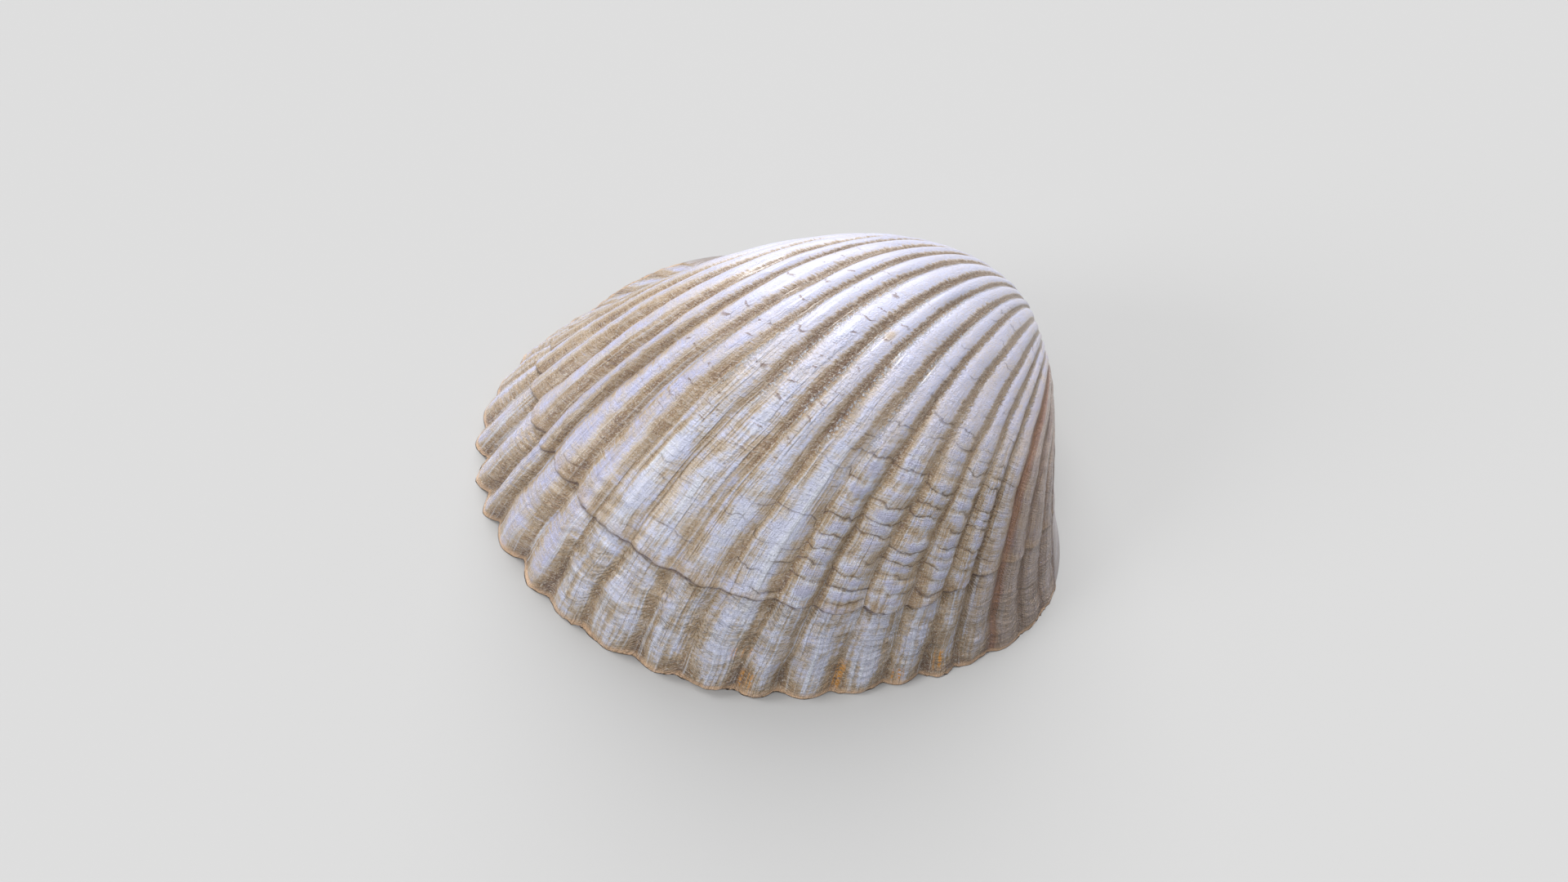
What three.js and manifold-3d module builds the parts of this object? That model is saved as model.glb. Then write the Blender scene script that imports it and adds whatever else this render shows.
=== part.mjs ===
// Right valve of a common cockle, lying on its margin with the convex side up.
// Millimetres, +Z up. X runs along the hinge line, +Y is the hinge side and -Y the ventral margin.
// The origin is the middle of the valve's box, on the plane of the margin.
//
// The valve is one growth spiral. Its margin turns about the hinge axis and shrinks towards the umbo
// as it turns, so every growth line is the margin again at an earlier age.
import * as THREE from 'three';
import { mergeVertices } from 'three/addons/utils/BufferGeometryUtils.js';
import Module from 'manifold-3d';

const wasm = await Module();
wasm.setup();

// Driving dimensions of the margin, which give a valve 45 mm long
const MARGIN_RADIUS = 17.4;       // mean radius of the margin, along the height of the valve
const MARGIN_STRETCH = 1.383;     // the margin is this much wider along the hinge line
const MARGIN_CENTRE_X = -4.2;     // the hind end, on the -X side, is the longer one
const MARGIN_CENTRE_Y = -17.7;    // middle of the margin below the hinge axis
const MARGIN_HARMONICS = [        // the shape's departure from an ellipse
  { order: 2, cos: 0.077, sin: -0.048 },
  { order: 3, cos: 0.015, sin: -0.043 },
  { order: 4, cos: -0.005, sin: 0.014 },
];

// Driving dimensions of the growth spiral
const SHRINK_RATE = 0.5;          // how fast growth lines shrink, per radian of turn
const SHRINK_CUBIC = 0.084;       // faster shrinking near the umbo, per cubed radian
const NARROWING = -0.086;         // growth lines narrow along the hinge, per radian
const BEAK_X = 5.6;               // the beak points to the front end, on the +X side
const HINGE_CLEARANCE = 0.35;     // least distance of the shell from the hinge axis
const HINGE_SOFTNESS = 0.5;       // width of the bend where the margin runs onto the hinge line
const SPIRAL_END = 168;           // degrees of turn at the tip of the beak

// Driving dimensions of the ribs, from the hind end round to the front end
const GROOVES = [                 // degrees round the margin, 0 at its lowest point
  -129, -117, -106, -96, -86, -76.5, -68, -58.5, -49, -40.5, -32, -26, -17.5, -10, -2,
  7.5, 16, 26, 34.5, 46, 57.5, 66.5, 75, 84.5, 93, 101.5, 110,
];
const GROOVE_DEPTH = 0.65;        // at the margin
const CROWN_HEIGHT = 0.15;        // a rib's middle above its shoulders, at the margin
const RIB_POINTS = 4;             // corners of one rib's section, groove to groove

// Driving dimensions of the wall
const WALL = 1.6;                 // from rib tops to the inside
const HINGE_PLATE = 3.2;          // width of the hinge plate, from the hinge line to the hollow
const HOLLOW_END = 100;           // degrees of turn at the deepest place under the umbo

// Steps of the faceted surface
const OUTSIDE_STEPS = 22;
const INSIDE_STEPS = 12;
const HINGE_STEPS = 18;
const INSIDE_SIDES = 54;
const CUT_OVERLAP = 4;            // degrees that the hollow reaches below the margin's plane

const radians = THREE.MathUtils.degToRad;

// Scale of a growth line after a turn from the margin
function scaleAt(turn) {
  return Math.exp(-(SHRINK_RATE * turn + SHRINK_CUBIC * turn ** 3));
}

// Point of the smooth margin: along the hinge, and away from the hinge axis
function marginPoint(angle) {
  let radius = MARGIN_RADIUS;
  for (const { order, cos, sin } of MARGIN_HARMONICS) {
    radius += MARGIN_RADIUS * (cos * Math.cos(order * angle) + sin * Math.sin(order * angle));
  }
  const along = MARGIN_CENTRE_X + MARGIN_STRETCH * radius * Math.sin(angle);
  const away = -MARGIN_CENTRE_Y + radius * Math.cos(angle);
  const past = (away - HINGE_CLEARANCE) / HINGE_SOFTNESS;
  const bend = past > 30 ? past : Math.log1p(Math.exp(past));
  return { along, away: HINGE_CLEARANCE + HINGE_SOFTNESS * bend };
}

// The same point on the growth line at a given turn, still in the plane of that growth line
function growthPoint(point, turn) {
  const scale = scaleAt(Math.max(turn, 0));
  return {
    along: scale * point.along * (1 + NARROWING * turn) + BEAK_X * (1 - scale),
    away: HINGE_CLEARANCE + scale * (point.away - HINGE_CLEARANCE),
  };
}

// From the plane of a growth line into space
function turned({ along, away }, turn) {
  return new THREE.Vector3(along, -away * Math.cos(turn), away * Math.sin(turn));
}

// A point moved towards the middle of its growth line
function inset(point, centre, distance) {
  const reach = Math.hypot(point.along - centre.along, point.away - centre.away);
  const keep = Math.max(0.05, 1 - distance / reach);
  return {
    along: centre.along + (point.along - centre.along) * keep,
    away: centre.away + (point.away - centre.away) * keep,
  };
}

// Corners round the ribbed margin: angle, and depth below the rib shoulders
function ribbedCorners() {
  const corners = [];
  GROOVES.slice(0, -1).forEach((groove, rib) => {
    const width = GROOVES[rib + 1] - groove;
    corners.push({ angle: groove, depth: GROOVE_DEPTH });
    for (let i = 1; i < RIB_POINTS; i += 1) {
      const part = i / RIB_POINTS;
      corners.push({ angle: groove + width * part, depth: -CROWN_HEIGHT * Math.sin(Math.PI * part) });
    }
  });
  const last = GROOVES[GROOVES.length - 1];
  corners.push({ angle: last, depth: GROOVE_DEPTH });
  const hingeArc = GROOVES[0] + 360 - last;
  for (let i = 1; i < HINGE_STEPS; i += 1) {
    corners.push({ angle: last + (hingeArc * i) / HINGE_STEPS, depth: 0 });
  }
  return corners.map(({ angle, depth }) => ({ angle: radians(angle), depth }));
}

// Closed body from rings of points, each ring the same length, with a flat or pointed end on both
function bodyFromRings(rings) {
  const sides = rings[0].length;
  const positions = rings.flat().flatMap((point) => point.toArray());
  const index = [];
  for (let ring = 0; ring + 1 < rings.length; ring += 1) {
    for (let side = 0; side < sides; side += 1) {
      const a = ring * sides + side;
      const b = ring * sides + ((side + 1) % sides);
      index.push(a, b, b + sides, a, b + sides, a + sides);
    }
  }
  for (const [ring, flip] of [[0, false], [rings.length - 1, true]]) {
    const middle = new THREE.Vector3();
    for (const point of rings[ring]) {
      middle.addScaledVector(point, 1 / sides);
    }
    const hub = positions.length / 3;
    positions.push(...middle.toArray());
    for (let side = 0; side < sides; side += 1) {
      const a = ring * sides + side;
      const b = ring * sides + ((side + 1) % sides);
      index.push(...(flip ? [a, b, hub] : [b, a, hub]));
    }
  }
  const geometry = new THREE.BufferGeometry();
  geometry.setAttribute('position', new THREE.Float32BufferAttribute(positions, 3));
  geometry.setIndex(index);
  return geometry;
}

function toManifold(geometry) {
  const merged = mergeVertices(geometry);
  return new wasm.Manifold(new wasm.Mesh({
    numProp: 3,
    vertProperties: merged.attributes.position.array,
    triVerts: new Uint32Array(merged.index.array),
  }));
}

function fromManifold(solid) {
  const { vertProperties, triVerts } = solid.getMesh();
  const geometry = new THREE.BufferGeometry();
  geometry.setAttribute('position', new THREE.BufferAttribute(vertProperties, 3));
  geometry.setIndex(new THREE.BufferAttribute(triVerts, 1));
  return geometry;
}

// The ribbed outside, filled
function outside() {
  const corners = ribbedCorners();
  const centre = { along: MARGIN_CENTRE_X, away: -MARGIN_CENTRE_Y };
  const rings = [];
  for (let step = 0; step <= OUTSIDE_STEPS; step += 1) {
    const turn = (radians(SPIRAL_END) * step) / OUTSIDE_STEPS;
    rings.push(corners.map(({ angle, depth }) => {
      const ribbed = inset(marginPoint(angle), centre, depth + CROWN_HEIGHT);
      return turned(growthPoint(ribbed, turn), turn);
    }));
  }
  return bodyFromRings(rings);
}

// The hollow inside, from just below the margin's plane up into the umbo
function hollow() {
  const rings = [];
  for (let step = 0; step <= INSIDE_STEPS; step += 1) {
    const turn = radians(-CUT_OVERLAP + ((HOLLOW_END + CUT_OVERLAP) * step) / INSIDE_STEPS);
    const centre = growthPoint({ along: MARGIN_CENTRE_X, away: -MARGIN_CENTRE_Y }, turn);
    const ring = [];
    for (let side = 0; side < INSIDE_SIDES; side += 1) {
      const angle = (2 * Math.PI * side) / INSIDE_SIDES;
      const nearHinge = THREE.MathUtils.smoothstep(-Math.cos(angle), 0, 1);
      const thickness = THREE.MathUtils.lerp(WALL, HINGE_PLATE, nearHinge);
      ring.push(turned(inset(growthPoint(marginPoint(angle), turn), centre, thickness), turn));
    }
    rings.push(ring);
  }
  return bodyFromRings(rings);
}

function valveGeometry() {
  const geometry = fromManifold(toManifold(outside()).subtract(toManifold(hollow())));
  geometry.computeBoundingBox();
  const middle = geometry.boundingBox.getCenter(new THREE.Vector3());
  geometry.translate(-middle.x, -middle.y, -geometry.boundingBox.min.z);
  geometry.computeVertexNormals();
  return geometry;
}

const shell = new THREE.MeshStandardMaterial({ color: 0xcfc8c4, roughness: 0.4, metalness: 0 });

const valve = new THREE.Mesh(valveGeometry(), shell);
valve.name = 'cockle_valve';

const cockle = new THREE.Group();
cockle.add(valve);

export default cockle;
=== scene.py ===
import math

import bmesh
import bpy
import numpy as np
from mathutils import Matrix, Vector


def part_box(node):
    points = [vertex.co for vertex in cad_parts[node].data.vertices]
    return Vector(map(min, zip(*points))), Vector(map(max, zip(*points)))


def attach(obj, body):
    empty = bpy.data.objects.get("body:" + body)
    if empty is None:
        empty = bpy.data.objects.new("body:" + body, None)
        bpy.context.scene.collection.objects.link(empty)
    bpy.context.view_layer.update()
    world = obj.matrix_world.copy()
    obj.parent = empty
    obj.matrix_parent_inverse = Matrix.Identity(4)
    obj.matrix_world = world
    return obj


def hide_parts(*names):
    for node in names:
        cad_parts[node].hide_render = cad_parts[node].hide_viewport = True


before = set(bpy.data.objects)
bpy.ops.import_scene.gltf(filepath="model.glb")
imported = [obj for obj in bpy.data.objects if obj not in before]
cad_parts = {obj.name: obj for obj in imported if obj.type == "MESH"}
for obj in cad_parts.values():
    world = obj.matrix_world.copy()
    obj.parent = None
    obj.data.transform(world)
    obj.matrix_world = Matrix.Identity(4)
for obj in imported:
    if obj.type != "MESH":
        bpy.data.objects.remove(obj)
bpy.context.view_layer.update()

# One valve of a common cockle, grown on the spiral that its solid was made on.
# The valve is modelled in millimetres in its hinge frame, with X along the hinge line, -Y down to
# the margin and +Z out through the dome. It is then moved to the part's frame and into metres.
NODE = "cockle_valve"
METRES = 0.001

# The margin, and how it turns about the hinge line and shrinks on its way back to the beak.
# These values were fitted to the outline in the photo by a separate program, then rounded.
MARGIN_RADIUS = 17.4
MARGIN_STRETCH = 1.383
MARGIN_CENTRE_X = -4.2
MARGIN_CENTRE_Y = -17.7
MARGIN_HARMONICS = ((2, 0.077, -0.048), (3, 0.015, -0.043), (4, -0.005, 0.014))
SHRINK_RATE = 0.5
SHRINK_CUBIC = 0.084
NARROWING = -0.086
BEAK_X = 5.6
HINGE_CLEARANCE = 0.35
HINGE_SOFTNESS = 0.5
SPIRAL_END = 168
HOLLOW_END = 118

# Grooves between the ribs, in degrees round the margin from its lowest point. The same fit gave
# about half of them, some moved since. The others were chosen one by one.
GROOVES = (
    -129, -117, -106, -96, -86, -76.5, -68, -58.5, -49, -40.5, -32, -26, -17.5, -10, -2,
    7.5, 16, 26, 34.5, 46, 57.5, 66.5, 75, 84.5, 93, 101.5, 110,
)
RIBS = len(GROOVES) - 1
HINGE_END = RIBS + 1
# How deep each groove is at the margin, across the middle of the valve and up on its dome
MARGIN_GROOVES = (
    0.05, 0.08, 0.12, 0.24, 0.42, 0.62, 0.80, 0.40, 0.82, 0.92, 0.95, 0.80, 0.74, 0.48, 0.38,
    0.46, 0.34, 0.50, 0.52, 0.38, 0.50, 0.50, 0.34, 0.20, 0.14, 0.10, 0.05,
)
MIDDLE_GROOVES = (
    0.15, 0.20, 0.24, 0.32, 0.42, 0.52, 0.60, 0.62, 0.60, 0.64, 0.66, 0.58, 0.44, 0.20, 0.19,
    0.18, 0.20, 0.28, 0.34, 0.30, 0.32, 0.36, 0.50, 0.52, 0.44, 0.36, 0.15,
)
DOME_GROOVES = (
    0.20, 0.26, 0.32, 0.40, 0.48, 0.54, 0.58, 0.60, 0.60, 0.60, 0.60, 0.60, 0.60, 0.56, 0.58,
    0.56, 0.50, 0.40, 0.32, 0.29, 0.31, 0.34, 0.50, 0.46, 0.34, 0.24, 0.15,
)
# Hollows in the low band: rib number, distance from the margin, half width, half length and depth
HOLLOWS = (
    (12.9, 3.2, 0.22, 1.8, 0.24), (10.1, 2.4, 0.20, 1.4, 0.22), (17.2, 2.2, 0.22, 1.4, 0.20),
    (18.1, 3.0, 0.20, 2.2, 0.16), (21.3, 3.6, 0.25, 1.8, 0.20), (15.0, 1.8, 0.20, 1.2, 0.16),
    (9.1, 5.4, 0.20, 1.6, 0.18), (20.3, 1.8, 0.20, 1.2, 0.16),
)

# The wall
WALL = 1.6
HINGE_PLATE = 3.2
PLATE_RISE = 0.5
# The relief as a whole lies this far within the smooth sheet
RELIEF_SINK = 0.16

# The dome, where ribs and grooves change, begins and is full this far from the margin
DOME_START = 17
DOME_FULL = 31
# Usual distance between growth lines, and between the fine chevrons of the low band
GROWTH_STEP = 1.45
CHEVRON_STEP = 0.38
BUMP_HEIGHT = 0.20

# Fineness of the mesh: columns run from the margin to the beak, rows are growth lines, and the
# last row stops a little short of the beak's tip
RIB_COLUMNS = 14
HINGE_COLUMNS = 84
ROW_STEPS = ((0, 0.17), (12.5, 0.18), (14, 0.32), (26, 0.34), (40, 0.60), (62, 1.2))
RIM_ROWS = 7
HOLLOW_ROWS = 40
TIP_GAP = 0.6


# Small rules for numbers

def soft_step(low, high, value):
    """0 at low, 1 at high and a soft run between. Low may be the larger one."""
    share = np.clip((value - low) / (high - low), 0, 1)
    return share * share * (3 - 2 * share)


def ripples(x, y, seed):
    """Smooth noise from -1 to 1 with one swell for each unit of x and y."""
    table = np.random.default_rng(seed).uniform(-1, 1, (64, 64))
    left = np.floor(x).astype(int)
    below = np.floor(y).astype(int)
    across = soft_step(0, 1, x - left)
    up = soft_step(0, 1, y - below)
    low = table[left % 64, below % 64] * (1 - across) + table[(left + 1) % 64, below % 64] * across
    high_left = table[left % 64, (below + 1) % 64]
    high_right = table[(left + 1) % 64, (below + 1) % 64]
    return low * (1 - up) + (high_left * (1 - across) + high_right * across) * up


# The growth spiral

def scale_at(turn):
    return np.exp(-(SHRINK_RATE * turn + SHRINK_CUBIC * turn**3))


def margin(angle):
    """The smooth margin: its place along the hinge line, and how far away from that line."""
    radius = np.full_like(angle, MARGIN_RADIUS)
    for order, cosine, sine in MARGIN_HARMONICS:
        radius += MARGIN_RADIUS * (cosine * np.cos(order * angle) + sine * np.sin(order * angle))
    along = MARGIN_CENTRE_X + MARGIN_STRETCH * radius * np.sin(angle)
    past = (radius * np.cos(angle) - MARGIN_CENTRE_Y - HINGE_CLEARANCE) / HINGE_SOFTNESS
    return along, HINGE_CLEARANCE + HINGE_SOFTNESS * np.logaddexp(0, past)


def margin_outward(angle):
    """The direction straight out of the margin, in its own plane."""
    step = 0.002
    before = np.array(margin(angle - step))
    after = np.array(margin(angle + step))
    run = after - before
    return np.array([-run[1], run[0]]) / np.hypot(run[0], run[1])


def growth_matrix(turn):
    """Carries the margin to the growth line at that turn."""
    scale = float(scale_at(turn))
    shrunk = Matrix.Diagonal((scale * (1 + NARROWING * turn), scale, 1, 1))
    shift = Matrix.Translation((BEAK_X * (1 - scale), -HINGE_CLEARANCE * (1 - scale), 0))
    return Matrix.Rotation(-turn, 4, "X") @ shift @ shrunk


def hollow_matrix(turn):
    """The same for the inside, which stays one wall thickness within the outside."""
    scale = float(scale_at(turn))
    inner = (scale * MARGIN_RADIUS - WALL) / (scale * (MARGIN_RADIUS - WALL))
    centre = Matrix.Translation((MARGIN_CENTRE_X, MARGIN_CENTRE_Y, 0))
    return growth_matrix(turn) @ centre @ Matrix.Diagonal((inner, inner, 1, 1)) @ centre.inverted()


def middle_line():
    """Turns, and how far each lies from the margin along the valve's middle line."""
    turns = np.linspace(0, math.radians(SPIRAL_END), 2001)
    away = HINGE_CLEARANCE + scale_at(turns) * (margin(np.zeros(1))[1] - HINGE_CLEARANCE)
    steps = np.hypot(np.diff(away * np.cos(turns)), np.diff(away * np.sin(turns)))
    return turns, np.concatenate([[0], np.cumsum(steps)])


LINE_TURNS, LINE_LENGTHS = middle_line()


def outside_growths():
    """How far from the margin each outside row lies."""
    growths = [0.0]
    while growths[-1] < LINE_LENGTHS[-1] - TIP_GAP:
        places, steps = zip(*ROW_STEPS)
        growths.append(growths[-1] + float(np.interp(growths[-1], places, steps)))
    return np.array(growths)


RIB_NUMBERS = np.concatenate([
    np.arange(RIBS * RIB_COLUMNS) / RIB_COLUMNS,
    RIBS + np.arange(HINGE_COLUMNS) / HINGE_COLUMNS,
])
ANGLES = np.radians(np.interp(RIB_NUMBERS, range(HINGE_END + 1), (*GROOVES, GROOVES[0] + 360)))
OUTSIDE = outside_growths()
OUTSIDE_TURNS = np.interp(OUTSIDE, LINE_LENGTHS, LINE_TURNS)
RIM_SHARES = np.arange(1, RIM_ROWS + 1) / RIM_ROWS
HOLLOW_TURNS = np.radians(np.linspace(0, HOLLOW_END, HOLLOW_ROWS + 1))[1:]


# Growing the valve: a ring on the margin, extruded out to the beak and in under the rim

def next_ring(sheet, edges, row, move=None):
    """Extrudes a ring of edges, carries the new ring by a matrix and writes down its row."""
    rows = sheet.verts.layers.int["row"]
    made = bmesh.ops.extrude_edge_only(sheet, edges=edges)["geom"]
    verts = [part for part in made if isinstance(part, bmesh.types.BMVert)]
    for vert in verts:
        vert[rows] = row
    if move is not None:
        bmesh.ops.transform(sheet, matrix=move, verts=verts)
    return verts, [part for part in made if isinstance(part, bmesh.types.BMEdge)]


def close_end(sheet, verts):
    middle = sum((vert.co for vert in verts), Vector()) / len(verts)
    bmesh.ops.pointmerge(sheet, verts=verts, merge_co=middle)


def grow_sheet():
    """The smooth closed sheet of the valve, each vertex knowing its column and its row."""
    sheet = bmesh.new()
    columns = sheet.verts.layers.int.new("column")
    rows = sheet.verts.layers.int.new("row")
    bmesh.ops.create_circle(sheet, segments=len(ANGLES), radius=MARGIN_RADIUS)
    along, away = margin(ANGLES)
    for column, vert in enumerate(sheet.verts):
        vert[columns] = column
        vert[rows] = 0
        vert.co = (along[column], -away[column], 0)
    margin_edges = list(sheet.edges)

    edges = margin_edges
    for row in range(1, len(OUTSIDE)):
        step = growth_matrix(OUTSIDE_TURNS[row]) @ growth_matrix(OUTSIDE_TURNS[row - 1]).inverted()
        verts, edges = next_ring(sheet, edges, row, step)
    beak = verts

    edges = margin_edges
    row = len(OUTSIDE) - 1
    near_hinge = soft_step(0, 1, -np.cos(ANGLES))
    reach = np.hypot(along - MARGIN_CENTRE_X, away + MARGIN_CENTRE_Y)
    thickness = (WALL + (HINGE_PLATE - WALL) * near_hinge) / reach
    for share in RIM_SHARES:
        row += 1
        verts, edges = next_ring(sheet, edges, row)
        for vert in verts:
            column = vert[columns]
            inset = share * thickness[column]
            vert.co.x = along[column] + (MARGIN_CENTRE_X - along[column]) * inset
            vert.co.y = -away[column] + (MARGIN_CENTRE_Y + away[column]) * inset
    before = hollow_matrix(0)
    for turn in HOLLOW_TURNS:
        row += 1
        verts, edges = next_ring(sheet, edges, row, hollow_matrix(turn) @ before.inverted())
        before = hollow_matrix(turn)
    close_end(sheet, verts)
    close_end(sheet, beak)
    bmesh.ops.recalc_face_normals(sheet, faces=sheet.faces)
    for face in sheet.faces:
        face.smooth = True
    return sheet


# Relief, in millimetres out of the smooth sheet

def groove_depth(rib, growth):
    """How deep the nearest groove is. Grooves differ, and most are shallow between their two ends."""
    groove = np.clip(np.round(rib), 0, RIBS)
    at_margin = np.interp(groove, range(RIBS + 1), MARGIN_GROOVES)
    in_middle = np.interp(groove, range(RIBS + 1), MIDDLE_GROOVES)
    on_dome = np.interp(groove, range(RIBS + 1), DOME_GROOVES)
    shrunk = scale_at(np.interp(growth, LINE_LENGTHS, LINE_TURNS)) ** 0.6
    end = np.exp(-((growth / 4.2) ** 2))
    dome = soft_step(DOME_START, DOME_FULL, growth)
    return at_margin * end + in_middle * (1 - end) * (1 - dome) + on_dome * shrunk * dome


def rib_profile(part, growth):
    """A rib's height across its width: 1 on the crown, 0 in the grooves."""
    dome = soft_step(DOME_START, DOME_FULL, growth)
    leaning = 1 - (1 - part) ** (1 + 0.45 * dome)
    side = np.clip(np.abs(2 * leaning - 1) / (0.95 - 0.07 * dome), 0, 1)
    squareness = 1.5 + 0.5 * soft_step(3, 9, growth) + 0.5 * soft_step(20, 32, growth)
    return (1 - side**squareness) ** 0.9


def wandering_rib(rib, growth):
    """Rib numbers with the small wander that keeps real ribs from being ruled lines."""
    free = soft_step(0, 1, rib) * soft_step(RIBS, RIBS - 1, rib)
    wander = 0.07 * ripples(rib * 0.8, growth * 0.13, 31) + 0.035 * ripples(rib * 1.9, growth * 0.42, 32)
    return rib + wander * free


def ring_growth(rib):
    """Where the strong growth ring lies, worked out by a separate program from a traced line."""
    places = (0, 7.5, 8.5, 10.6, 11.6, 12.9, 14, 16, 17, 18, 19, 19.9, 20.8, 21.4, 22.2, 24, 26)
    growths = (8, 8.9, 9.2, 9.3, 9.7, 9.3, 9.3, 9.4, 9.7, 9.5, 9.4, 9.2, 10.1, 11, 11.9, 13, 14)
    return np.interp(rib, places, growths)


def growth_fields(rib, growth):
    """Fields that both the relief and the finish follow."""
    part = rib % 1
    side = np.abs(2 * part - 1)
    number = np.floor(rib)
    wander = 0.16 * ripples(rib * 4, growth * 0.6, 3) + 0.10 * ripples(rib * 9, growth * 1.5, 4)
    sag = np.interp(rib, (7, 12, 13, 17, 18.2, 20.4, 21), (0.30, 0.25, 0.02, 0.05, 0.42, 0.42, 0.1))
    ring = growth - ring_growth(rib) + sag * (0.45 - side**2) + 0.7 * wander
    per_rib = np.random.default_rng(11).uniform(-1, 1, (3, HINGE_END + 1))
    bow, tilt, shift = per_rib[:, np.clip(number, 0, HINGE_END).astype(int)]
    tilt = np.where(rib > 18.4, 0.55 + 0.2 * tilt, 0.25 * tilt)
    bent = growth - 0.45 * bow * side**2 + tilt * (part - 0.5) + 1.6 * wander
    uneven = 0.55 * ripples(growth * 0.45 + number * 3.1, number * 2.3, 21)
    steps = bent / GROWTH_STEP + 0.3 * shift + uneven
    strength = 0.5 + 0.5 * ripples(number * 7.3 + part * 1.2, np.floor(steps + 0.5) * 1.37, 22)
    strong = np.interp(rib, (0, 8, 12, 16.5, 17.2, 22, 23, 26), (0.1, 0.2, 0.5, 0.6, 1, 1, 0.3, 0.1))
    mark = strength * strong * soft_step(9.2, 10.6, growth) * (rib < RIBS)
    return {"ring": ring, "steps": steps, "mark": mark}


def outside_relief(rib, growth, fields):
    part = rib % 1
    side = np.abs(2 * part - 1)
    ribbed = (rib < RIBS) * 1.0
    size = np.clip(scale_at(np.interp(growth, LINE_LENGTHS, LINE_TURNS)) * 1.3, 0, 1)
    depth = groove_depth(rib, growth) * (1 + 0.22 * ripples(rib, growth * 0.3, 7))
    relief = -depth * (1 - rib_profile(part, growth)) * ribbed

    ring = fields["ring"]
    ledge = np.interp(rib, (5, 7, 12.3, 14, 20, 23), (0.1, 0.28, 0.26, 0.20, 0.24, 0.05))
    relief -= ledge * soft_step(0.10, -0.10, ring) * np.exp(np.minimum(ring, 0) / 3.0)
    relief -= 0.07 * np.exp(-((ring + 0.06) / 0.14) ** 2) * (ledge > 0.08)
    relief += 0.05 * np.exp(-((ring - 0.22) / 0.25) ** 2)

    since = fields["steps"] % 1
    lip = np.exp(-since / 0.30) * soft_step(0, 0.06, since)
    relief += 0.10 * (lip - 0.35) * fields["mark"] * size * (1 - 0.5 * side**3)
    relief -= 0.06 * soft_step(0.84, 0.97, since) * soft_step(1.0, 0.97, since) * fields["mark"]
    celled = np.interp(rib, (16.8, 17.3, 22, 22.4), (0, 1, 1, 0)) * soft_step(9.5, 11, growth)
    pillow = np.sin(math.pi * since) * (1 - side**2)
    relief += 0.13 * (pillow - 0.4) * celled * soft_step(27, 20, growth)

    band = soft_step(10.0, 7.5, growth) * ribbed
    wave = growth - 1.1 * side**2 * soft_step(8, 3, growth) + 0.9 * ripples(rib * 1.4, growth * 0.4, 5)
    wrinkles = np.sin(2 * math.pi * wave / 0.70) + 0.6 * np.sin(2 * math.pi * wave / 1.23 + 2)
    patchy = 0.5 + 0.5 * ripples(rib * 1.3, growth * 0.35, 6)
    relief += 0.065 * wrinkles * band * patchy
    fine = growth + 0.9 * ripples(rib * 1.6, growth * 0.5, 13) - 0.3 * side**2
    hatched = (0.4 + 0.6 * side) * (0.5 + 0.5 * ripples(rib * 1.2, growth * 0.3, 14))
    hatch_lines = 0.010 * np.sin(2 * math.pi * fine / 0.80) * hatched * soft_step(28, 18, growth)
    relief += hatch_lines * (1 - band) * ribbed
    relief += 0.030 * ripples(rib * 2.3, growth * 1.9, 8) * soft_step(32, 20, growth) * ribbed
    threads = ripples(rib * 7, growth * 0.22, 9) + 0.6 * ripples(rib * 13, growth * 0.3, 15)
    threaded = 0.35 + soft_step(0.55, 0.25, np.abs(rib - 16.5)) + soft_step(0.4, 0.2, np.abs(rib - 13.4))
    relief += 0.030 * threads * size * threaded * soft_step(34, 16, growth) * ribbed
    straight = np.exp(-((rib - 16.6) / 0.07) ** 2) * soft_step(7, 9, growth) * soft_step(26, 18, growth)
    relief += 0.07 * straight
    lumps = ripples(rib * 1.1, growth * 0.38, 16)
    relief += (0.05 + 0.10 * soft_step(10, 2, growth) * ribbed) * lumps
    for rib_middle, growth_middle, width, length, deep in HOLLOWS:
        out = ((rib - rib_middle) / width) ** 2 + ((growth - growth_middle) / length) ** 2
        relief -= deep * np.exp(-out)
    fibres = ripples(rib * 6, growth * 0.16, 12) + 0.5 * ripples(rib * 12, growth * 0.3, 17)
    relief += 0.035 * fibres * soft_step(22.4, 23, rib)
    return relief - RELIEF_SINK


def inside_relief(rib, growth):
    """Furrows of the inner margin, which fade up the hollow, and the two muscle scars."""
    ribbed = (rib < RIBS) * soft_step(0, 0.5, rib) * soft_step(RIBS, RIBS - 0.5, rib)
    furrow = -np.cos(2 * math.pi * rib)
    relief = 0.22 * furrow * np.exp((growth + WALL) / 3.0) * ribbed
    relief += 0.05 * furrow * soft_step(-26, -12, growth) * ribbed
    for rib_middle, growth_middle, width, length in ((3.6, -12.5, 1.7, 3.6), (22.2, -12.0, 1.5, 3.4)):
        out = np.hypot((rib - rib_middle) / width, (growth - growth_middle) / length)
        relief += 0.14 * soft_step(1.05, 0.90, out)
    line = -6.6 - 1.2 * np.cos(2 * math.pi * (rib - RIBS / 2) / RIBS)
    relief += 0.07 * soft_step(line - 0.4, line + 0.4, growth) * ribbed
    return relief


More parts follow.
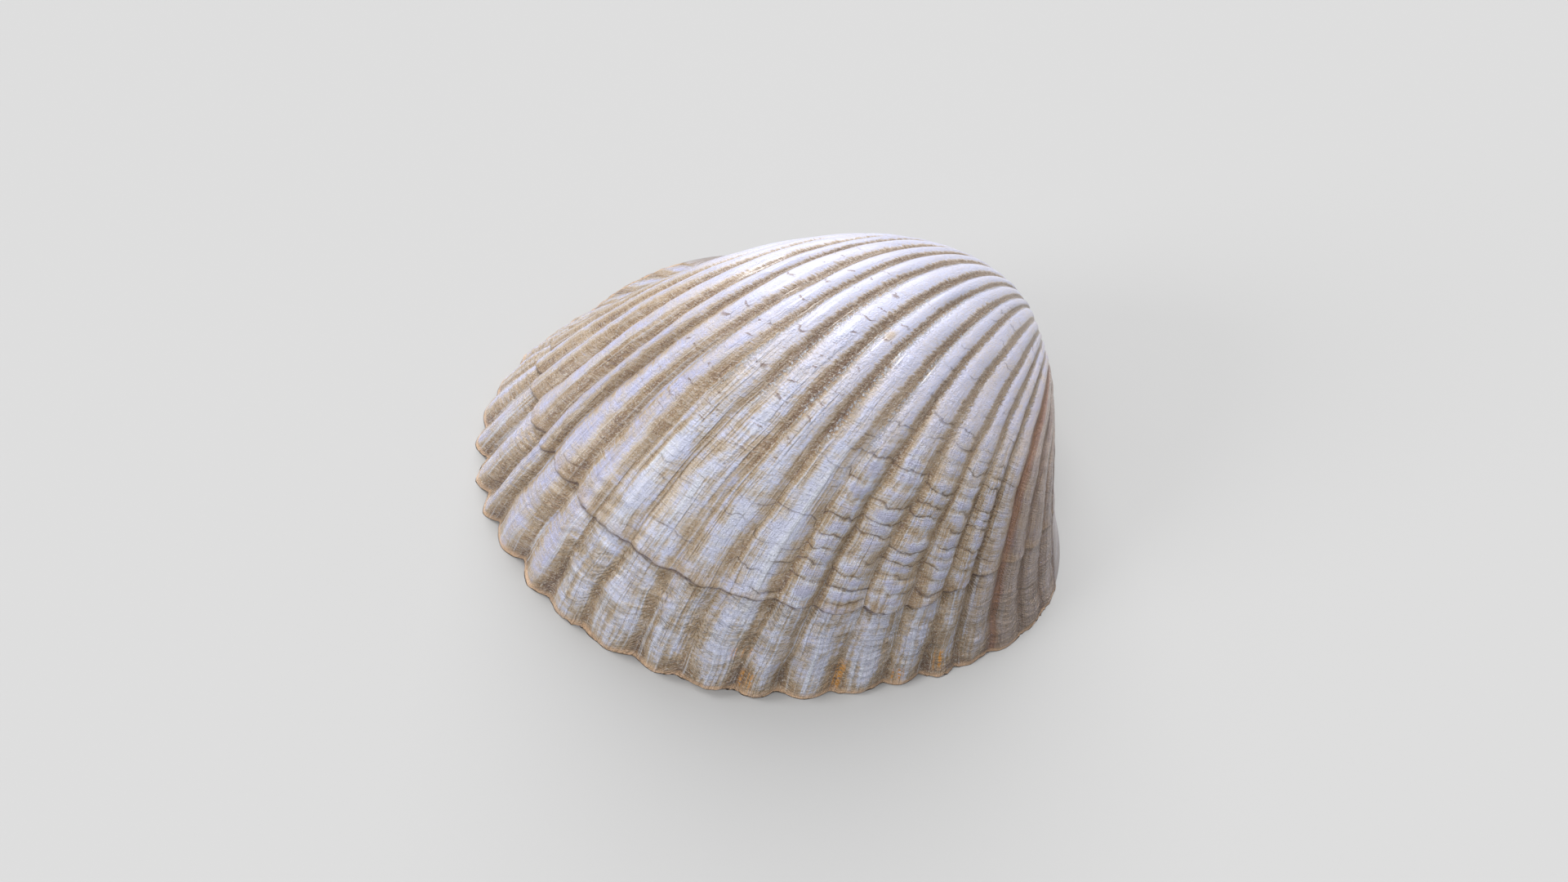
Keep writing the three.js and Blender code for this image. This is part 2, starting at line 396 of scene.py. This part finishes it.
def rim_height(rib, share, outer):
    """How far the rim's face stands off the ground, with the hinge teeth on its wide part."""
    by_hinge = np.clip(soft_step(RIBS - 0.5, RIBS, rib) + soft_step(0.6, 0, rib), 0, 1)
    edge = (0.5 - 0.25 * by_hinge) * share**1.4 + outer * (1 - share)
    hinge = soft_step(RIBS + 0.34, RIBS + 0.46, rib) * soft_step(RIBS + 0.66, RIBS + 0.54, rib)
    plate = PLATE_RISE * soft_step(0, 0.35, share)
    teeth = 0 * rib
    for rib_middle, half_width, height, lean in (
        (RIBS + 0.56, 0.022, 0.95, 0.03), (RIBS + 0.62, 0.018, 0.7, -0.03),
        (RIBS + 0.26, 0.040, 0.6, 0.0), (RIBS + 0.88, 0.035, 0.5, 0.0),
    ):
        out = np.abs(rib - rib_middle - lean * (share - 0.5)) / half_width
        teeth += height * np.exp(-out**2) * np.exp(-((share - 0.58) / 0.30) ** 2)
    return np.maximum(edge * (1 - hinge) + plate * hinge - teeth * soft_step(0, 0.4, share), 0)


def shape_sheet(mesh, move):
    """Gives the smooth sheet its relief, its growth map and the fields that the finish reads."""
    count = len(mesh.vertices)
    places = np.zeros(count * 3)
    mesh.vertices.foreach_get("co", places)
    places = places.reshape(-1, 3)
    column = np.zeros(count, np.int32)
    row = np.zeros(count, np.int32)
    mesh.attributes["column"].data.foreach_get("value", column)
    mesh.attributes["row"].data.foreach_get("value", row)

    hollow_growths = -WALL - np.interp(HOLLOW_TURNS, LINE_TURNS, LINE_LENGTHS)
    growth = np.concatenate([OUTSIDE, -WALL * RIM_SHARES, hollow_growths])[row]
    turn = np.concatenate([OUTSIDE_TURNS, 0 * RIM_SHARES, HOLLOW_TURNS])[row]
    rib = wandering_rib(RIB_NUMBERS[column], growth)
    fields = growth_fields(rib, np.maximum(growth, 0))
    outer = outside_relief(rib, np.maximum(growth, 0), fields)
    inner = inside_relief(rib, np.minimum(growth, -WALL))
    share = np.clip(-growth / WALL, 0, 1)
    relief = outer * (1 - share) + inner * share

    out_along, out_away = margin_outward(ANGLES[column])
    places[:, 0] += relief * out_along
    places[:, 1] -= relief * out_away * np.cos(turn)
    places[:, 2] += relief * out_away * np.sin(turn)
    side = np.abs(2 * (rib % 1) - 1)
    notch = 0.35 * side**3 * groove_depth(rib, 0 * rib) * (rib < RIBS)
    lift = notch * np.exp(-np.maximum(growth, 0) / 0.8)
    flat = growth <= 0
    rim = rim_height(rib, share, notch)
    behind = np.exp((growth + WALL) / 0.8)
    places[:, 2] += np.where(flat, np.where(growth >= -WALL, rim, rim * behind), lift)
    places = (places + np.array(move)) * METRES
    mesh.vertices.foreach_set("co", places.ravel())

    corners = np.zeros(len(mesh.loops), np.int32)
    mesh.loops.foreach_get("vertex_index", corners)
    loop_rib = rib[corners]
    for face in mesh.polygons:
        loops = slice(face.loop_start, face.loop_start + face.loop_total)
        if loop_rib[loops].max() - loop_rib[loops].min() > RIBS / 2:
            loop_rib[loops] = np.where(loop_rib[loops] < 1, loop_rib[loops] + HINGE_END, loop_rib[loops])
    growth_map = mesh.uv_layers.new(name="growth")
    growth_map.uv.foreach_set("vector", np.stack([loop_rib, growth[corners]], -1).ravel())
    for name, values in fields.items():
        mesh.attributes.new(name, "FLOAT", "POINT").data.foreach_set("value", values)
    mesh.update()


def hinge_to_part():
    """The shift from the hinge frame to the part's frame, which centres the valve's smooth box."""
    ribs = np.arange(RIBS) + 0.5
    along, away = margin(np.radians(np.interp(ribs, range(RIBS + 1), GROOVES)))
    turns = np.radians(np.arange(0, SPIRAL_END, 0.5))[:, None]
    scale = scale_at(turns)
    x = scale * along * (1 + NARROWING * turns) + BEAK_X * (1 - scale)
    y = -(HINGE_CLEARANCE + scale * (away - HINGE_CLEARANCE)) * np.cos(turns)
    low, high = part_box(NODE)
    return Vector((
        (low[0] + high[0]) / 2 / METRES - (x.min() + x.max()) / 2,
        (low[1] + high[1]) / 2 / METRES - (y.min() + y.max()) / 2,
        low[2] / METRES,
    ))


TO_PART = hinge_to_part()


def make_valve():
    sheet = grow_sheet()
    mesh = bpy.data.meshes.new("valve_shell")
    sheet.to_mesh(mesh)
    sheet.free()
    shape_sheet(mesh, TO_PART)
    valve = bpy.data.objects.new("valve_shell", mesh)
    bpy.context.scene.collection.objects.link(valve)
    return valve


# Finishes

class Field:
    """A number or colour in a finish, which takes part in expressions."""

    def __init__(self, finish, socket):
        self.finish = finish
        self.socket = socket

    def math(self, operation, first, second):
        return self.finish.node("ShaderNodeMath", {"operation": operation}, first, second)

    def __add__(self, other):
        return self.math("ADD", self, other)

    def __radd__(self, other):
        return self.math("ADD", other, self)

    def __sub__(self, other):
        return self.math("SUBTRACT", self, other)

    def __rsub__(self, other):
        return self.math("SUBTRACT", other, self)

    def __mul__(self, other):
        return self.math("MULTIPLY", self, other)

    def __rmul__(self, other):
        return self.math("MULTIPLY", other, self)

    def __truediv__(self, other):
        return self.math("DIVIDE", self, other)


class Finish:
    """A material whose nodes are made by node() and by expressions on its fields."""

    def __init__(self, name):
        self.material = bpy.data.materials.new(name)
        self.material.use_nodes = True
        self.tree = self.material.node_tree
        self.tree.nodes.clear()

    def node(self, kind, settings, *inputs, output=0, **named_inputs):
        made = self.tree.nodes.new(kind)
        for setting, value in settings.items():
            setattr(made, setting, value)
        named = {key.replace("_", " "): value for key, value in named_inputs.items()}
        for key, value in [*enumerate(inputs), *named.items()]:
            if isinstance(value, Field):
                self.tree.links.new(value.socket, made.inputs[key])
            elif value is not None:
                made.inputs[key].default_value = value
        return Field(self, made.outputs[output]) if made.outputs else made

    def one(self, operation, value, other=None):
        return self.node("ShaderNodeMath", {"operation": operation}, value, other)

    def attribute(self, name):
        return self.node("ShaderNodeAttribute", {"attribute_name": name}, output="Fac")

    def step(self, value, low, high):
        """0 at low, 1 at high and a soft run between. Low may be the larger one."""
        if low > high:
            return 1 - self.step(value, high, low)
        return self.node("ShaderNodeMapRange", {"interpolation_type": "SMOOTHSTEP"}, value, low, high)

    def mix(self, share, first, second):
        number_sockets = [None] * 5
        settings = {"data_type": "RGBA"}
        return self.node("ShaderNodeMix", settings, share, *number_sockets, first, second, output=2)

    def noise(self, x, y, detail, roughness, z):
        place = self.node("ShaderNodeCombineXYZ", {}, x, y, z)
        return self.node(
            "ShaderNodeTexNoise", {}, Vector=place, Scale=1.0, Detail=detail, Roughness=roughness,
        )


def seen(red, green, blue):
    """A colour as it is seen, from 0 to 255, turned into light."""
    shares = [channel / 255 for channel in (red, green, blue)]
    light = [share / 12.92 if share <= 0.04045 else ((share + 0.055) / 1.055) ** 2.4 for share in shares]
    return (*light, 1.0)


DOME_WHITE = seen(220, 224, 252)
BLUE_WHITE = seen(212, 215, 252)
BEIGE_WHITE = seen(222, 216, 216)
LAVENDER_GREY = seen(192, 189, 218)
BRIGHT_WHITE = seen(242, 245, 255)
PALE_GRAIN = seen(234, 224, 208)
LIGHT_TAN = seen(214, 193, 160)
TAN = seen(182, 150, 106)
DARK_TAN = seen(128, 97, 64)
DOME_TAN = seen(164, 138, 112)
# Dark brown of the growth lines, partly painted shadow at the foot of their steps
GROWTH_LINE_AND_SHADOW_BROWN = seen(108, 80, 60)
# Painted reflection: warm gold for the glints in the groove ends
PAINTED_GLINT_GOLD = seen(240, 170, 66)
# Painted glow: peach light along the rim and its inner edge
PAINTED_RIM_GLOW = seen(254, 210, 164)
FLANK_GREY = seen(194, 172, 152)
FLANK_BROWN = seen(146, 119, 94)
RED_BROWN = seen(172, 114, 68)
CREAM = seen(236, 222, 204)
LINING_WHITE = seen(238, 235, 236)

# Stains: rib number, distance from the margin, half width in ribs, half length and strength
STAINS = (
    (14.0, 26, 0.16, 4.0, 0.8), (15.0, 26, 0.18, 4.5, 0.8), (16.05, 25.5, 0.18, 3.6, 0.8),
    (18.05, 25, 0.12, 3.4, 0.7), (15.3, 31, 0.16, 0.5, 0.8), (17.2, 2.0, 0.26, 1.8, 0.7),
    (13.0, 22, 0.22, 2.0, 0.5), (15.8, 11.5, 0.22, 1.4, 0.5), (16.95, 11.6, 0.16, 2.2, 0.6),
    (18.0, 11.5, 0.14, 1.6, 0.7), (20.1, 12, 0.14, 2.4, 0.5), (21.3, 3.5, 0.30, 3.2, 0.6),
    (12.9, 2.8, 0.20, 2.2, 0.6), (14.9, 5.0, 0.30, 0.9, 0.4), (14.7, 19.8, 0.40, 1.0, 0.5),
    (11.9, 13, 0.16, 3.6, 0.4), (20.2, 18, 0.22, 1.2, 0.5), (12.6, 17.2, 0.5, 0.5, 0.4),
)
# Clean threaded stretches: rib number, half width, distance from the margin and half length
CLEAN_STRETCHES = (
    (16.5, 0.26, 13, 11), (18.55, 0.22, 4, 4.5), (13.5, 0.26, 14, 6), (20.7, 0.20, 9, 8),
    (14.4, 0.26, 14, 3.5), (15.5, 0.22, 14, 2.5), (19.55, 0.28, 5, 4.5), (14.5, 0.2, 21, 0.9),
)
# Painted glints, warm reflected light in the groove ends: rib number, distance from the margin, half length
PAINTED_GLINTS = ((17.2, 1.6, 1.3), (16.9, 4.4, 0.8), (19.02, 2.0, 2.2), (20.3, 1.4, 1.1), (21.45, 2.2, 1.6))


def shell_finish():
    shell = Finish("weathered_shell")
    growth_map = shell.node("ShaderNodeUVMap", {"uv_map": "growth"})
    rib = shell.node("ShaderNodeSeparateXYZ", {}, growth_map, output="X")
    growth = shell.node("ShaderNodeSeparateXYZ", {}, growth_map, output="Y")
    part = shell.one("FRACT", rib)
    to_next = 1 - part
    side = shell.one("ABSOLUTE", part * 2 - 1)
    ring = shell.attribute("ring")
    since = shell.one("FRACT", shell.attribute("steps"))
    mark = shell.attribute("mark")
    outside = shell.step(growth, -0.05, 0.05)
    ribbed = shell.step(rib, RIBS + 0.02, RIBS - 0.02)

    # Loose variation, from broad tones down to specks
    broad = shell.noise(rib * 0.7, growth * 0.14, 3.0, 0.5, 7.0)
    patches = shell.noise(rib * 1.9, growth * 0.42, 4.0, 0.60, 3.0)
    mottle = shell.noise(rib * 2.6, growth * 1.2, 4.0, 0.65, 5.0)
    grains = shell.noise(rib * 8.5, growth * 3.4, 3.0, 0.7, 11.0)
    speckle = shell.noise(rib * 15, growth * 7.0, 2.0, 0.7, 15.0)
    fine = shell.noise(rib * 26, growth * 12, 2.0, 0.6, 17.0)
    # Hatching lies across the ribs in short marks, threads run straight along them
    bend = shell.noise(rib * 1.2, growth * 0.5, 2.5, 0.5, 21.0)
    hatching = shell.noise(rib * 2.2, growth * 4.6 + bend * 3, 2.0, 0.6, 27.0)
    threads = shell.noise(rib * 9, growth * 0.07, 2.0, 0.5, 29.0) * 0.6
    threads = threads + shell.noise(rib * 22, growth * 0.16, 2.0, 0.5, 33.0) * 0.4

    # Where on the valve: the band by the margin, the worn low part, the dome and the sides
    band = shell.step(ring, 0.3, -0.3)
    low = shell.step(growth + (patches - 0.5) * 10, 31, 19)
    high = 1 - low
    left = shell.step(rib, 13.2, 12.4)
    flank = shell.step(rib + (broad - 0.5), 21.6, 23.6)
    toward_flank = shell.step(rib, 15.0, 23.0)
    celled = shell.step(rib, 16.8, 17.3) * (1 - flank) * low * (1 - band)
    clean = 0
    for rib_middle, width, growth_middle, length in CLEAN_STRETCHES:
        across = shell.one("ABSOLUTE", rib - rib_middle + (patches - 0.5) * 0.3)
        along = shell.one("ABSOLUTE", growth - growth_middle + (patches - 0.5) * 6)
        clean = clean + shell.step(across, width, width * 0.4) * shell.step(along, length, length * 0.6)

    # The dome's brown lies in a broad band before each groove, partly the shell's brown and partly painted
    # shade on the slope turned from the light, with white teeth on the far side
    width = 0.27 + (broad - 0.5) * 0.30
    before = shell.step(to_next - width + (hatching - 0.5) * 0.34, 0.10, -0.12)
    after = shell.step(part - 0.05 + (grains - 0.5) * 0.40, 0.08, -0.06)
    groove = shell.one("MAXIMUM", before, after) * ribbed
    teeth = shell.step(shell.one("ABSOLUTE", part - 0.03), 0.22, 0.02)
    teeth = teeth * shell.step(grains * 0.5 + speckle * 0.5, 0.47, 0.58) * shell.step(growth, 20, 24)
    teeth = teeth * shell.step(rib, 10.5, 12.5) * shell.step(rib, 18.4, 16.5)
    dome_brown_and_shade = groove * (1.0 - toward_flank * 0.45) + (mottle - 0.5) * 0.9 * groove
    dome_brown_and_shade = dome_brown_and_shade + (patches - 0.5) * (0.4 + toward_flank * 0.9) + toward_flank * 0.12
    # On the left ribs it lies on both slopes in a fringe of short marks, and more on the lower one as
    # painted shade on the slope turned from the light
    ragged = part + (hatching - 0.5) * 0.30
    slope_brown_and_shade = shell.step(ragged, 0.46, 0.76) * 0.88 + shell.step(ragged, 0.24, 0.06) * 0.50
    slope_brown_and_shade = slope_brown_and_shade - shell.step(side, 0.86, 0.98) * shell.step(threads, 0.46, 0.56) * 0.7
    # In the middle it follows the grooves in straight strands, on the right it frames the cells
    pillow = shell.one("SINE", since * math.pi) * (1 - side * side)
    # Wear in the low part, together with the painted slope shade of the left ribs
    wear_and_shade = (slope_brown_and_shade * left + side * side * 0.50 * (1 - left)) * (1 - band * 0.2)
    wear_and_shade = wear_and_shade + 0.10 - left * 0.08 + shell.step(side, 0.5, 1.0) * band * 0.2
    wear_and_shade = wear_and_shade + (patches - 0.5) * (2.1 - left * 0.8) + (mottle - 0.5) * 0.8
    wear_and_shade = wear_and_shade + shell.step(rib, 18.5, 22.5) * 0.20
    wear_and_shade = wear_and_shade + (0.5 - pillow) * 0.55 * celled - clean * 0.40
    wear_and_shade = wear_and_shade - (hatching - 0.5) * (0.5 + left * slope_brown_and_shade * 1.6 + band * 0.5 + celled * 0.5)
    wear_and_shade = wear_and_shade - (threads - 0.5) * (2.6 - left * 1.4 + clean * 1.2)
    end = growth - side * 2.8 + (bend - 0.5) * 3.0
    wear_and_shade = wear_and_shade + shell.step(end, 1.8, -1.4) * 0.60 * ribbed
    # Brown from stains and wear, with the painted shade on the slopes before the grooves
    brown = dome_brown_and_shade * high + wear_and_shade * low
    for rib_middle, growth_middle, width, length, strength in STAINS:
        out_rib = (rib - rib_middle) / width
        out_growth = (growth - growth_middle) / length
        out = shell.one("SQRT", out_rib * out_rib + out_growth * out_growth) + (grains - 0.5) * 0.9
        brown = brown + shell.step(out, 1.6, 0.3) * strength * 0.60
    brown = brown + (grains - 0.5) * 0.55 + (speckle - 0.5) * 0.5
    brown_amount = shell.step(brown, -0.2, 1.1)

    # Lavender white on the dome, mottled blue and beige lower down, greyer towards the flank, partly as
    # painted shade
    mottled = shell.mix(shell.step(mottle * 0.6 + patches * 0.4, 0.42, 0.60), BLUE_WHITE, BEIGE_WHITE)
    white = shell.mix(low * 0.75 + toward_flank * 0.25 * high, DOME_WHITE, mottled)
    # Greyer towards the flank: partly the shell's own tone, partly painted shade on the side turned from
    # the light
    white = shell.mix(toward_flank * (0.40 + low * 0.25), white, LAVENDER_GREY)
    strands = shell.step(threads, 0.52, 0.64) * (0.30 + clean * 0.6 + band * 0.25) * (0.25 + low * 0.75)
    straight = shell.step(shell.one("ABSOLUTE", rib - 16.6), 0.07, 0.02)
    straight = straight * shell.step(growth, 7, 9) * shell.step(growth, 25, 18)
    tan = shell.mix(high * 0.7, TAN, DOME_TAN)
    # Painted highlight: the rib crowns in the low part are lightened towards bright white
    white = shell.mix((1 - side * side) * low * (0.50 - left * 0.40), white, BRIGHT_WHITE)
    white = shell.mix(left * low * 0.45, white, LAVENDER_GREY)
    cell_rim = shell.step(shell.one("ABSOLUTE", pillow - 0.40), 0.26, 0.06) * celled
    white = shell.mix(shell.step(pillow, 0.55, 0.85) * celled * 0.5, white, LAVENDER_GREY)
    white = shell.mix(cell_rim * 0.5, white, BRIGHT_WHITE)
    colour = shell.mix(shell.step(brown, -0.30, 0.75), white, LIGHT_TAN)
    colour = shell.mix(shell.step(brown, 0.15, 1.05), colour, tan)
    colour = shell.mix(shell.step(brown - (speckle - 0.5) * 1.2, 0.75, 1.75) * 0.9, colour, DARK_TAN)
    pale = shell.step(fine * 0.4 + speckle * 0.3 + grains * 0.3, 0.49, 0.60)
    colour = shell.mix(brown_amount * pale * 0.8, colour, PALE_GRAIN)
    colour = shell.mix(brown_amount * shell.step(fine * 0.6 + grains * 0.4, 0.46, 0.32) * 0.6, colour, DARK_TAN)
    colour = shell.mix(strands, colour, BRIGHT_WHITE)
    colour = shell.mix(straight * 0.8, colour, BRIGHT_WHITE)
    colour = shell.mix(teeth * 0.8, colour, BRIGHT_WHITE)

    # The hind flank: greyish brown in long fibres, dark in its furrows, reddish where it begins
    fibres = shell.noise(rib * 9, growth * 0.10, 4.0, 0.65, 41.0)
    crown = shell.step(fibres * 0.9 + (patches - 0.5) * 0.4 - side * side * 0.22, 0.22, 0.50)
    flank_colour = shell.mix(crown, FLANK_BROWN, FLANK_GREY)
    colour = shell.mix(flank * 0.85, colour, flank_colour)
    furrow = shell.step(shell.one("ABSOLUTE", rib - 23.05 + (fibres - 0.5) * 0.3), 0.20, 0.03)
    colour = shell.mix(furrow * (0.25 + fibres * 0.6), colour, RED_BROWN)

    # Cracks where growth stopped: a dark line on the side towards the margin, partly the crack's own colour
    # and partly painted shadow at the foot of the step
    crack_and_shadow = shell.step(since + (grains - 0.5) * 0.10, 0.86, 0.96) * shell.step(since, 1.0, 0.985)
    cracked = mark + (patches - 0.5) * 0.9 + high * (part - 0.85) * 0.7
    crack_and_shadow = crack_and_shadow * shell.step(cracked, 0.28, 0.60) * outside
    colour = shell.mix(crack_and_shadow * (0.56 - high * 0.30), colour, GROWTH_LINE_AND_SHADOW_BROWN)
    dash = shell.step(shell.one("ABSOLUTE", part - 0.42), 0.32, 0.12) * shell.step(growth, 37, 34)
    dash = dash * shell.step(shell.one("ABSOLUTE", rib - 13.2), 2.9, 2.0) * shell.step(growth, 17, 20)
    dash = dash * shell.step(since, 0.84, 0.93) * shell.step(mottle, 0.50, 0.56)
    colour = shell.mix(dash * 0.7, colour, DARK_TAN)
    # The strong growth ring: a dark line, partly its own colour and partly painted shadow under its ledge
    ring_line = shell.step(shell.one("ABSOLUTE", ring + 0.06 + (grains - 0.5) * 0.14), 0.28, 0.08)
    ring_line = ring_line * shell.step(rib, 23, 22) * shell.step(rib, 5, 7)
    colour = shell.mix(ring_line * 0.80 * outside, colour, GROWTH_LINE_AND_SHADOW_BROWN)
    above_ring = shell.step(ring, 1.8, 0.1) * shell.step(ring, -0.1, 0.1) * shell.step(patches, 0.40, 0.54)
    colour = shell.mix(above_ring * 0.45, colour, TAN)

    # The margin: painted gold glints of warm reflected light in the groove ends and a painted peach glow on
    # the rim
    for rib_middle, growth_middle, length in PAINTED_GLINTS:
        near = shell.step(shell.one("ABSOLUTE", rib - rib_middle), 0.22, 0.08)
        near = near * shell.step(shell.one("ABSOLUTE", growth - growth_middle), length, length * 0.4)
        glint = near * shell.step(threads, 0.46, 0.54) * shell.step(grains, 0.40, 0.50)
        colour = shell.mix(glint, colour, PAINTED_GLINT_GOLD)
    # Painted warm glow along the rim's edge
    rim = shell.step(growth + (patches - 0.5) * 0.4, 0.85, 0.05) * ribbed
    colour = shell.mix(rim * 0.85, colour, PAINTED_RIM_GLOW)
    hinge_area = shell.mix(shell.step(hatching, 0.40, 0.60), FLANK_GREY, BEIGE_WHITE)
    colour = shell.mix((1 - ribbed) * 0.8, colour, hinge_area)

    # The inside: cream under the rim, white and glossy up in the hollow
    inside = shell.mix(shell.step(growth, -2.0, -9.0), CREAM, LINING_WHITE)
    inside = shell.mix(shell.step(broad, 0.50, 0.70) * 0.25, inside, LIGHT_TAN)
    # Painted peach glow on the inner edge under the rim
    inside = shell.mix(shell.step(growth, -0.9, -0.1) * ribbed, inside, PAINTED_RIM_GLOW)
    colour = shell.mix(outside, inside, colour)

    chevron_turns = (growth - side * side * 1.1) / CHEVRON_STEP + bend * 5
    chevrons = shell.one("SINE", chevron_turns * math.tau) * shell.step(patches, 0.40, 0.56) * band * ribbed
    calm = 1 - left * (1 - brown_amount) * 0.8
    height = chevrons * (0.36 - left * 0.24) + hatching * (0.25 + 1.1 * low) * calm
    height = height + threads * (0.2 + 1.9 * low) + mottle * 1.1 * low
    height = height + grains * (0.5 + groove * high * 1.8 + low * 0.8 * calm)
    height = height + speckle * (0.3 + groove * high * 0.5)
    height = height + fine * (0.4 + low * 0.3)
    height = height + teeth * 0.8 - crack_and_shadow * 0.6 - brown_amount * 0.4 + fibres * flank + straight * 0.5
    bump = shell.node(
        "ShaderNodeBump", {}, Strength=1.0, Distance=BUMP_HEIGHT * METRES, Height=height * outside,
    )
    body = shell.node(
        "ShaderNodeBsdfPrincipled", {}, Base_Color=colour, Roughness=0.25 + brown_amount * 0.10,
        Normal=bump, IOR=1.7, Specular_Tint=seen(196, 206, 255), Coat_Weight=0.4, Coat_Roughness=0.18,
    )
    shell.node("ShaderNodeOutputMaterial", {}, body)
    return shell.material


valve = make_valve()
valve.data.materials.append(shell_finish())
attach(valve, "root")
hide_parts(NODE)


# Floor, light and camera

FLOOR_HALF = 1.2
FLOOR_GREY = seen(194, 194, 194)


def make_floor():
    mesh = bpy.data.meshes.new("floor")
    sheet = bmesh.new()
    bmesh.ops.create_grid(sheet, x_segments=1, y_segments=1, size=FLOOR_HALF)
    sheet.to_mesh(mesh)
    sheet.free()
    floor = bpy.data.objects.new("floor", mesh)
    bpy.context.scene.collection.objects.link(floor)
    paper = Finish("pale_floor")
    paper.node("ShaderNodeOutputMaterial", {}, paper.node("ShaderNodeBsdfDiffuse", {}, FLOOR_GREY))
    mesh.materials.append(paper.material)


SKY_STRENGTH = 0.54
# Soft lights: where each shines from, its strength and its spread
LIGHTS = {
    "high_light": (Vector((-0.32, 0.36, 0.87)), 1.10, math.radians(9)),
    "back_light": (Vector((-0.50, 0.59, 0.48)), 2.4, math.radians(50)),
    "left_light": (Vector((-0.55, -0.76, 0.36)), 0.95, math.radians(24)),
}


def light_studio():
    world = bpy.data.worlds.new("studio")
    world.use_nodes = True
    sky = world.node_tree.nodes["Background"]
    sky.inputs["Color"].default_value = (1, 1, 1, 1)
    sky.inputs["Strength"].default_value = SKY_STRENGTH
    bpy.context.scene.world = world
    for name, (shines_from, strength, spread) in LIGHTS.items():
        light = bpy.data.lights.new(name, "SUN")
        light.energy = strength
        light.angle = spread
        lamp = bpy.data.objects.new(name, light)
        lamp.rotation_euler = shines_from.to_track_quat("Z", "Y").to_euler()
        bpy.context.scene.collection.objects.link(lamp)


CAMERA_AZIMUTH = math.radians(40)
CAMERA_ELEVATION = math.radians(60)
CAMERA_FIELD = math.radians(45)
CAMERA_DISTANCE = 76.55
CAMERA_AIM = Vector((-1.90, -17.73, 5.72))


def place_camera():
    data = bpy.data.cameras.new("camera")
    data.sensor_fit = "VERTICAL"
    data.angle = CAMERA_FIELD
    data.clip_start = 0.005
    camera = bpy.data.objects.new("camera", data)
    level = math.cos(CAMERA_ELEVATION)
    back = Vector((
        math.sin(CAMERA_AZIMUTH) * level,
        -math.cos(CAMERA_AZIMUTH) * level,
        math.sin(CAMERA_ELEVATION),
    ))
    camera.location = (CAMERA_AIM + TO_PART + back * CAMERA_DISTANCE) * METRES
    camera.rotation_euler = back.to_track_quat("Z", "Y").to_euler()
    bpy.context.scene.collection.objects.link(camera)
    bpy.context.scene.camera = camera


make_floor()
light_studio()
place_camera()
bpy.context.scene.view_settings.view_transform = "Standard"
